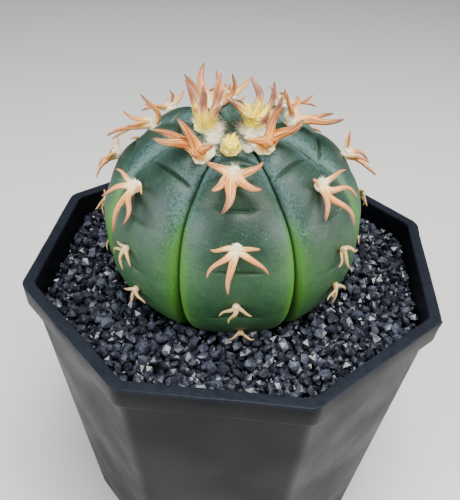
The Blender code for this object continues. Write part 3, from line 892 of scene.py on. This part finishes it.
def fibres(root, axes, size, count, thickness, seed):
    """Wool fibres as three-sided tapered tubes on arcs, whose feet spread over the mound.

    A fibre leaves the mound outward, leans away from its middle and bends 45 degrees to a random side.
    """
    rng = np.random.default_rng(seed)
    rings, sides = 5, 3
    spin = rng.uniform(0, math.tau, count)
    off = np.sqrt(rng.uniform(0, 1, count)) * 0.98
    foot = np.stack([off * np.cos(spin), off * np.sin(spin), np.sqrt(1 - off**2)], -1) * size
    lean = np.stack([np.cos(spin) * off, np.sin(spin) * off, 0.5 + 0.4 * (1 - off)], -1)
    lean += rng.normal(size=(count, 3)) * [0.55, 0.55, 0.4]
    lean[:, 2] = np.abs(lean[:, 2]) * 0.55
    lean /= np.linalg.norm(lean, axis=1, keepdims=True)
    curl = np.cross(lean, rng.normal(size=(count, 3)))
    curl /= np.linalg.norm(curl, axis=1, keepdims=True)
    reach = rng.uniform(0.35, 0.95, count) * size[0]
    t = np.linspace(0, 1, rings)
    way = lean[:, None] * t[:, None] + curl[:, None] * (0.5 * t**2)[:, None]
    line = foot[:, None] * 0.85 + way * reach[:, None, None]
    across = np.cross(lean, curl)
    around = np.arange(sides) * math.tau / sides
    width = thickness / 2 * (1 - 0.7 * t)
    ring = curl[:, None] * np.cos(around)[:, None] + across[:, None] * np.sin(around)[:, None]
    body = line[:, :, None] + ring[:, None] * width[:, None, None]
    poles = np.stack([line[:, 0], line[:, -1]], 1)
    local = np.concatenate([poles[:, :1], body.reshape(count, -1, 3), poles[:, 1:]], axis=1).reshape(-1, 3)
    return root + local @ np.stack(axes), rings, sides


def areole_frame(stem, colatitude, turn):
    """An areole's place on the skin and its three axes."""
    places, axes = skin_point(stem, np.array([math.radians(colatitude)]), np.array([math.radians(turn)]))
    return places[0], [axis[0] for axis in axes]


def build_areole(settings, stem, finishes, name, node, colatitude, turn, growth, seed):
    """One areole: the horn piece with its hub and spines, and the wool piece with its mound and fibres.

    The young growths of the crown are rooted lower, with a smaller hub and flatter wool than the older ones.
    """
    wool_scale, diameter, tone, spines = GROWTHS[growth]
    form = OLD_FORM if tone > OLD_TONE else YOUNG_FORM
    place, axes = areole_frame(stem, colatitude, turn)
    outward = axes[2]
    diameter *= MM
    root = place + outward * diameter * form["root"]
    hub = np.array(HUB_SHAPE) * diameter * form["hub"]
    points = [mound(root - outward * diameter * 0.12, axes, hub, seed)]
    quads, fans = tube_faces(MOUND_ROWS, MOUND_COLUMNS)
    faces4, faces3 = [quads], [fans]
    shares = [np.full(len(points[0]), 0.0)]
    strands = [(points[0] - root) / diameter]
    for number, spine in enumerate(spines):
        start = sum(len(part) for part in points)
        part, share, strand = horn(root, axes, spine, diameter, settings, seed * 10 + number)
        quads, fans = tube_faces(settings.rings, settings.sides, start)
        points.append(part)
        faces4.append(quads)
        faces3.append(fans)
        shares.append(share)
        strands.append(strand)
    points = np.concatenate(points)
    rng = np.random.default_rng(seed)
    tones = np.full(len(points), tone + rng.uniform(-0.04, 0.04))
    attributes = {"along": np.concatenate(shares), "strand": np.concatenate(strands), "tone": tones}
    faces = [np.concatenate(faces4), np.concatenate(faces3)]
    horns = make_object(f"horns_{name}", points, faces, [finishes["horn"]], attributes=attributes)
    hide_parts(node)
    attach(horns, "root")
    nest = place + axes[1] * diameter * form["wool_up"] + outward * diameter * form["wool_out"]
    size = np.array(form["wool"]) * settings.pad * wool_scale
    build_fleece(settings, finishes, f"wool_{name}", nest, axes, size, seed + 500)


def build_fleece(settings, finishes, name, middle, axes, size, seed):
    """A mound of felt with loose fibres on it."""
    felt = mound(middle, axes, size, seed)
    count = max(12, int(settings.fibres * size[0] * 2 / settings.pad))
    hair, rings, sides = fibres(middle, axes, size, count, settings.fibre, seed + 400)
    quads, fans = tube_faces(MOUND_ROWS, MOUND_COLUMNS)
    hair_quads, hair_fans = tube_faces(rings, sides)
    jumps = (len(felt) + np.arange(count) * (rings * sides + 2))[:, None, None]
    faces = [
        np.concatenate([quads, (hair_quads[None] + jumps).reshape(-1, 4)]),
        np.concatenate([fans, (hair_fans[None] + jumps).reshape(-1, 3)]),
    ]
    fleece = make_object(name, np.concatenate([felt, hair]), faces, [finishes["wool"]])
    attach(fleece, "root")


def build_areoles(settings, stem):
    """Every areole of every rib, and the loose wool on the crown."""
    finishes = {"horn": spine_horn(), "wool": wool()}
    seed = 20
    for rib in RIBS:
        for number, (colatitude, turn, growth) in enumerate(AREOLES[rib], start=1):
            name = f"{rib}_{number}"
            build_areole(settings, stem, finishes, name, f"spines_{name}", colatitude, turn, growth, seed)
            seed += 1
    for number, (colatitude, turn, scale) in enumerate(CROWN_WOOL, start=1):
        place, axes = areole_frame(stem, colatitude, turn)
        size = np.array(CROWN_WOOL_SHAPE) * settings.pad * scale
        build_fleece(settings, finishes, f"crown_wool_{number}", place, axes, size, seed)
        seed += 1


# The pot


def octagon_ring(flats, corner, corner_steps=6, side_steps=8):
    """Points round a regular octagon with rounded corners, its flats facing X and Y.

    Each corner is an arc of 45 degrees about a centre on the corner's ray, and straight sides join the arcs.
    """
    ray = np.arange(8) * math.pi / 4 + math.pi / 8
    sweep = np.linspace(-math.pi / 8, math.pi / 8, corner_steps)
    reach = (flats / 2 - corner) / math.cos(math.pi / 8)
    centre = np.stack([np.cos(ray), np.sin(ray)], -1) * reach
    angle = ray[:, None] + sweep
    arcs = centre[:, None] + corner * np.stack([np.cos(angle), np.sin(angle)], -1)
    after = np.roll(arcs[:, 0], -1, axis=0)
    share = (np.arange(side_steps) + 1)[:, None] / (side_steps + 1)
    sides = arcs[:, -1][:, None] * (1 - share) + after[:, None] * share
    return np.concatenate([arcs, sides], axis=1).reshape(-1, 2)


def rounded_path(corners, steps=4):
    """A polyline of (half-flat, height, rounding), each corner rounded by a quadratic arc of that setback."""
    line = []
    for (ax, az, _), (bx, bz, rounding), (cx, cz, _) in zip(corners, corners[1:], corners[2:]):
        a, b, c = Vector((ax, az)), Vector((bx, bz)), Vector((cx, cz))
        start = b + (a - b).normalized() * rounding
        end = b + (c - b).normalized() * rounding
        for step in range(steps + 1):
            t = step / steps
            line.append((start * (1 - t) ** 2 + b * 2 * t * (1 - t) + end * t**2)[:])
    return np.array([corners[0][:2], *line, corners[-1][:2]])


def build_pot(pot):
    """The pot as one surface: a profile from the floor's underside, over the rim and down the inside.

    Every point of the profile becomes a rounded octagon. Ripples of a few hundredths of a millimetre and a
    ragged seam on the rim's outer edge keep it from looking machined. The drains are cut afterwards.
    """
    half_top = pot.across / 2 - pot.rim_proud
    taper = (half_top - pot.foot / 2) / pot.height

    def outer(z):
        return pot.foot / 2 + taper * z

    foot_width, recess, floor_top = 4 * MM, 2.5 * MM, 4.5 * MM
    band = pot.height - pot.rim_height
    edge = pot.edge
    inner_foot = pot.foot / 2 - foot_width
    corners = [
        (0.4 * MM, recess, 0),
        (inner_foot, recess, 0.5 * MM),
        (inner_foot, 0, 0.5 * MM),
        (outer(0), 0, 0.7 * MM),
        (outer(band), band, 0.25 * MM),
        (pot.across / 2 - pot.rim_proud * 0.3, band, 0.3 * MM),
        (pot.across / 2, pot.height, edge),
        (outer(pot.height) - pot.wall, pot.height, edge),
        (outer(band) - pot.wall, band, 0.3 * MM),
        (outer(floor_top) - pot.wall, floor_top, 1.5 * MM),
        (0.4 * MM, floor_top, 0),
    ]
    path = rounded_path(corners)
    pieces = []
    for start, end in zip(path, path[1:]):
        count = max(1, int(np.linalg.norm(end - start) / (2.5 * MM)))
        pieces.append(start + (end - start) * (np.arange(count) / count)[:, None])
    path = np.concatenate([*pieces, path[-1:]])
    rings = []
    for half, height in path:
        inset = max(0.0, outer(height) - half)
        corner = min(half * 0.5, max(0.3 * MM, pot.corner - inset * 0.9))
        ring = octagon_ring(2 * half, corner)
        rings.append(np.column_stack([ring, np.full(len(ring), height)]))
    grid = np.array(rings)
    ripple = waves(grid, 30 * MM, 5, 2)[..., None]
    outwards = grid * [1, 1, 0] / np.maximum(np.linalg.norm(grid[..., :2], axis=-1, keepdims=True), 1e-6)
    high = smoothstep(20 * MM, 60 * MM, np.linalg.norm(grid[..., :2], axis=-1, keepdims=True))
    grid = grid + outwards * ripple * 0.12 * MM * high
    at_edge = (path[:, 0] > pot.across / 2 - 0.6 * MM)[:, None]
    seam = bell(grid[..., 2] - (pot.height - 0.5 * MM), 0.35 * MM) * at_edge
    ragged = np.clip(waves(grid, 5 * MM, 8, 3) * 2 - 0.25, 0, 1) * seam
    grid = grid + outwards * ragged[..., None] * 0.35 * MM
    rows, columns = grid.shape[:2]
    points = np.concatenate([[[0, 0, recess]], grid.reshape(-1, 3), [[0, 0, floor_top]]])
    body = make_object("pot_body", points, tube_faces(rows, columns), [pot_plastic(pot)])
    cut_drains(body, recess, floor_top)
    return body


def cut_drains(body, low, high):
    """Cuts the five drain holes through the floor, as the CAD pot has them."""
    reach = DRAIN_RING_RADIUS
    turns = math.pi / 4 + np.arange(4) * math.pi / 2
    places = [(0.0, 0.0)] + [(reach * math.cos(turn), reach * math.sin(turn)) for turn in turns]
    bm = bmesh.new()
    for x, y in places:
        bmesh.ops.create_cone(
            bm, cap_ends=True, segments=24,
            radius1=DRAIN_RADIUS, radius2=DRAIN_RADIUS, depth=4 * (high - low),
            matrix=Matrix.Translation((x, y, (low + high) / 2)),
        )
    mesh = bpy.data.meshes.new("drain_cutter")
    bm.to_mesh(mesh)
    bm.free()
    cutter = bpy.data.objects.new("drain_cutter", mesh)
    bpy.context.scene.collection.objects.link(cutter)
    cut = body.modifiers.new("drains", "BOOLEAN")
    cut.operation = "DIFFERENCE"
    cut.object = cutter
    bpy.context.view_layer.update()
    finished = bpy.data.meshes.new_from_object(body.evaluated_get(bpy.context.evaluated_depsgraph_get()))
    body.modifiers.clear()
    body.data = finished
    bpy.data.objects.remove(cutter)
    finished.set_sharp_from_angle(angle=math.radians(35))


# The grit


def stone_form():
    """The twelve directions and twenty faces of an icosahedron."""
    bm = bmesh.new()
    bmesh.ops.create_icosphere(bm, subdivisions=1, radius=1)
    directions = np.array([vertex.co.normalized()[:] for vertex in bm.verts])
    faces = np.array([[vertex.index for vertex in face.verts] for face in bm.faces])
    bm.free()
    return directions, faces


def random_turns(rng, count):
    """Rotation matrices from random unit quaternions."""
    q = rng.normal(size=(count, 4))
    w, x, y, z = (q / np.linalg.norm(q, axis=1, keepdims=True)).T
    return np.stack(
        [
            np.stack([1 - 2 * (y * y + z * z), 2 * (x * y - w * z), 2 * (x * z + w * y)], -1),
            np.stack([2 * (x * y + w * z), 1 - 2 * (x * x + z * z), 2 * (y * z - w * x)], -1),
            np.stack([2 * (x * z - w * y), 2 * (y * z + w * x), 1 - 2 * (x * x + y * y)], -1),
        ],
        1,
    )


def inside_pot(x, y, margin):
    """Whether points lie inside the pot's octagonal opening by at least a margin."""
    half = GRIT_HIGH.x - margin
    corner = (np.abs(x) + np.abs(y)) / math.sqrt(2)
    return (np.abs(x) < half) & (np.abs(y) < half) & (corner < half)


def stem_girth(stem, height):
    """The stem's radius at a height below its widest ring, grooves left out."""
    drop = (GRIT_HIGH.z + EQUATOR_ABOVE_GRIT - height) / stem.keel_drop
    return stem.diameter / 2 * (1 - drop**KEEL_FULLNESS) ** (1 / KEEL_FULLNESS)


def drop_grains(grit, stem, rng):
    """Places of the grains: each falls at the lowest of some random spots and raises a height map there."""
    count = int(2 * MAP_HALF / MAP_CELL)
    ticks = (np.arange(count) + 0.5) * MAP_CELL - MAP_HALF
    map_x, map_y = np.meshgrid(ticks, ticks, indexing="ij")
    ground = np.full((count, count), GRIT_HIGH.z - 4.0 * MM)
    ground[~inside_pot(map_x, map_y, 0.0)] = 1.0
    covered = stem_girth(stem, GRIT_HIGH.z) - 1.2 * MM
    ground[np.hypot(map_x - STEM_PLACE[0], map_y - STEM_PLACE[1]) < covered] = 1.0
    share = rng.uniform(0, 1, grit.grains) ** 2.2
    diameters = np.sort(grit.smallest + (grit.largest - grit.smallest) * share)[::-1].copy()
    diameters = diameters[rng.permutation(grit.grains)]
    places = np.zeros((grit.grains, 3))
    for index, diameter in enumerate(diameters):
        radius = diameter / 2
        angle = rng.uniform(0, math.tau, GRAIN_TRIES)
        reach = np.sqrt(rng.uniform(SCATTER_NEAR**2, SCATTER_FAR**2, GRAIN_TRIES)) * MM
        x = reach * np.cos(angle) + STEM_PLACE[0]
        y = reach * np.sin(angle) + STEM_PLACE[1]
        apart = np.hypot(x - STEM_PLACE[0], y - STEM_PLACE[1])
        clear = apart > stem_girth(stem, GRIT_HIGH.z) + radius * 0.35
        good = np.flatnonzero(inside_pot(x, y, radius * 0.8) & clear)[:GRAIN_SPOTS]
        best = None
        span = max(1, int(radius * 0.8 / MAP_CELL))
        for spot in good:
            i = int((x[spot] + MAP_HALF) / MAP_CELL)
            j = int((y[spot] + MAP_HALF) / MAP_CELL)
            window = (slice(max(i - span, 0), i + span + 1), slice(max(j - span, 0), j + span + 1))
            patch = ground[window]
            solid = patch[patch < 0.5]
            level = np.quantile(solid, 0.8)
            if best is None or level < best[0]:
                best = (level, spot, window)
        level, spot, window = best
        centre = level + radius * 0.55
        places[index] = (x[spot], y[spot], centre)
        away = ((map_x[window] - x[spot]) ** 2 + (map_y[window] - y[spot]) ** 2) / radius**2
        cap = centre + radius * 0.72 * np.sqrt(np.clip(1 - away, 0, 1))
        patch = ground[window]
        ground[window] = np.where((patch < 0.5) & (away < 1), np.maximum(patch, cap), patch)
    return places, diameters


def build_grains(grit, stem):
    """Loose grains: each is an icosahedron with its corners moved at random, squashed, turned and placed."""
    rng = np.random.default_rng(grit.seed)
    places, diameters = drop_grains(grit, stem, rng)
    directions, faces = stone_form()
    total = len(places)
    form = directions[None] * rng.uniform(0.68, 1.18, (total, len(directions), 1))
    form += rng.normal(size=form.shape) * 0.1
    squash = np.stack([np.ones(total), rng.uniform(0.65, 1.0, total), rng.uniform(0.5, 0.85, total)], -1)
    form = form * squash[:, None]
    form = np.einsum("nij,nvj->nvi", random_turns(rng, total), form)
    points = places[:, None] + form * (diameters / 2 * 1.16)[:, None, None]
    tint = np.repeat(rng.uniform(0, 1, total), len(directions))
    jumps = (np.arange(total) * len(directions))[:, None, None]
    sides = (faces[None] + jumps).reshape(-1, 3)
    finish = grit_stone(grit)
    return make_object("loose_grit", points, [sides], [finish], smooth=False, attributes={"grain": tint})


def build_bed(grit):
    """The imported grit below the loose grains: rings from under the stem's edge out to the pot's wall.

    The closed profile runs out along the top, down the wall, back along the bottom and up beside the stem.
    """
    ring = octagon_ring(1.0, 0.03, 6, 10)
    angle = np.arctan2(ring[:, 1], ring[:, 0])
    wall = ring * 2 * (GRIT_HIGH.x - 0.2 * MM)
    hub = np.stack([np.cos(angle), np.sin(angle)], -1) * 21 * MM + STEM_PLACE
    share = np.linspace(0, 1, 40)[:, None, None]
    flat = hub * (1 - share) + wall * share
    top = np.concatenate([flat, np.full((*flat.shape[:2], 1), GRIT_HIGH.z - 3.4 * MM)], -1)
    top[..., 2] += 0.5 * MM * waves(top, 4 * MM, 4, 3)
    low_wall = wall * (1 - 0.6 * MM / GRIT_HIGH.x)
    bottom = np.stack([low_wall, hub], 0)
    bottom = np.concatenate([bottom, np.full((2, len(ring), 1), GRIT_LOW.z + 0.2 * MM)], -1)
    grid = np.concatenate([top, bottom, top[:1]])[:-1]
    rows, columns = grid.shape[:2]
    index = np.arange(rows * columns).reshape(rows, columns)
    down = np.roll(index, -1, axis=0)
    quads = np.stack([index, down, np.roll(down, -1, axis=1), np.roll(index, -1, axis=1)], -1).reshape(-1, 4)
    return make_object("grit_bed", grid.reshape(-1, 3), [quads], [grit_bed_painted_shade(grit)])


# The stage


def aim(item, target, roll=0.0):
    """Turns a camera or a light towards a point, and then about its own line of sight."""
    sight = Vector(target) - item.location
    turn = sight.to_track_quat("-Z", "Y").to_matrix() @ Matrix.Rotation(roll, 3, "Z")
    item.rotation_euler = turn.to_euler()


def area_light(name, place, size, power, tint):
    data = bpy.data.lights.new(name, "AREA")
    data.shape = "RECTANGLE"
    data.size, data.size_y = size
    data.energy = power
    data.color = tint
    lamp = bpy.data.objects.new(name, data)
    bpy.context.scene.collection.objects.link(lamp)
    lamp.location = place
    aim(lamp, LIGHT_TARGET)
    return lamp


def build_stage(stage):
    """A pale round sheet that sweeps up at its edge, three soft lights, a pale world and the camera."""
    board = Board("stage_paper", Roughness=0.8, Specular_IOR_Level=0.2)
    paper = board.blend(tuple(stage.floor), (0.66, 0.66, 0.66), board.noise(8, 2) * 0.25)
    board.set_surface(Base_Color=paper)
    board.bump((board.noise(900, 2), 0.02 * MM, 0.1))
    reach = np.linspace(0.02, 3.0, 60)[:, None]
    around = np.linspace(0, math.tau, 72, endpoint=False)[None]
    height = 1.6 * smoothstep(1.3, 3.2, reach) ** 2
    bowl = np.stack([reach * np.cos(around), reach * np.sin(around), height + 0 * around], -1)
    index = np.arange(reach.size * around.size).reshape(reach.size, around.size)
    after = np.roll(index, -1, axis=1)
    quads = np.stack([index[:-1], index[1:], after[1:], after[:-1]], -1).reshape(-1, 4)
    middle = np.full(around.size, index.size)
    points = np.concatenate([bowl.reshape(-1, 3), [[0, 0, 0]]])
    fan = np.stack([middle, index[0], after[0]], -1)
    sheet = make_object("stage_sheet", points, [quads, fan], [board.material])
    if sheet.data.polygons[0].normal.z < 0:
        sheet.data.flip_normals()
    area_light("top_light", (0.05, -0.08, 0.62), (0.26, 0.26), stage.key, (1.0, 0.97, 0.93))
    area_light("left_light", (-0.44, -0.32, 0.3), (0.34, 0.34), stage.fill, (0.94, 0.97, 1.0))
    area_light("right_light", (0.5, -0.14, 0.34), (0.34, 0.34), stage.rim, (1.0, 0.98, 0.95))
    world = bpy.data.worlds.new("studio")
    world.use_nodes = True
    world.node_tree.nodes["Background"].inputs["Color"].default_value = (0.82, 0.86, 0.92, 1)
    world.node_tree.nodes["Background"].inputs["Strength"].default_value = 0.28
    bpy.context.scene.world = world
    data = bpy.data.cameras.new("camera")
    data.sensor_width = 36
    data.lens = stage.focal
    data.clip_start = 0.01
    camera = bpy.data.objects.new("camera", data)
    bpy.context.scene.collection.objects.link(camera)
    camera.location = CAMERA_PLACE
    aim(camera, CAMERA_TARGET, math.radians(CAMERA_ROLL))
    bpy.context.scene.camera = camera


# Operators, panel and registration


class CACTUS_OT_stage(bpy.types.Operator):
    """Add the floor, the lights and the camera"""

    bl_idname = "cactus.stage"
    bl_label = "Stage"

    def execute(self, context):
        build_stage(context.scene.cactus.stage)
        return {"FINISHED"}


class CACTUS_OT_pot(bpy.types.Operator):
    """Add the octagonal pot and finish the soil inside it"""

    bl_idname = "cactus.pot"
    bl_label = "Pot"

    def execute(self, context):
        body = build_pot(context.scene.cactus.pot)
        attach(body, "root")
        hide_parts("pot")
        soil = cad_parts["potting_soil"]
        soil.data.materials.clear()
        soil.data.materials.append(potting_soil())
        return {"FINISHED"}


class CACTUS_OT_grit(bpy.types.Operator):
    """Add the bed of grit and its loose grains"""

    bl_idname = "cactus.grit"
    bl_label = "Grit"

    def execute(self, context):
        settings = context.scene.cactus
        bed = build_bed(settings.grit)
        grains = build_grains(settings.grit, settings.stem)
        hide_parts("grit_top_dressing")
        for piece in (bed, grains):
            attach(piece, "root")
        return {"FINISHED"}


class CACTUS_OT_stem(bpy.types.Operator):
    """Add the ribbed stem"""

    bl_idname = "cactus.stem"
    bl_label = "Stem"

    def execute(self, context):
        body = build_stem(context.scene.cactus.stem)
        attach(body, "root")
        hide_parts("stem")
        return {"FINISHED"}


class CACTUS_OT_areoles(bpy.types.Operator):
    """Add the wool and the spines of every areole"""

    bl_idname = "cactus.areoles"
    bl_label = "Areoles"

    def execute(self, context):
        settings = context.scene.cactus
        build_areoles(settings.spines, settings.stem)
        return {"FINISHED"}


class CACTUS_PT_sidebar(bpy.types.Panel):
    """Lists the cactus's sizes and the pieces that can be added"""

    bl_idname = "CACTUS_PT_sidebar"
    bl_label = "Potted round cactus"
    bl_space_type = "VIEW_3D"
    bl_region_type = "UI"
    bl_category = "Cactus"

    def draw(self, context):
        settings = context.scene.cactus
        for key, operator in STEPS.items():
            box = self.layout.box()
            for name in getattr(settings, GROUPS[key]).__annotations__:
                box.prop(getattr(settings, GROUPS[key]), name)
            box.operator(operator.bl_idname)


STEPS = {
    "stage": CACTUS_OT_stage,
    "pot": CACTUS_OT_pot,
    "grit": CACTUS_OT_grit,
    "stem": CACTUS_OT_stem,
    "areoles": CACTUS_OT_areoles,
}
GROUPS = {"stage": "stage", "pot": "pot", "grit": "grit", "stem": "stem", "areoles": "spines"}
CLASSES = (
    PotSettings, StemSettings, SpineSettings, GritSettings, StageSettings, CactusSettings,
    *STEPS.values(), CACTUS_PT_sidebar,
)


def register():
    for item in CLASSES:
        bpy.utils.register_class(item)
    bpy.types.Scene.cactus = PointerProperty(type=CactusSettings)


def unregister():
    del bpy.types.Scene.cactus
    for item in reversed(CLASSES):
        bpy.utils.unregister_class(item)


def main():
    register()
    for operator in STEPS.values():
        group, name = operator.bl_idname.split(".")
        getattr(getattr(bpy.ops, group), name)()


if __name__ == "__main__":
    main()
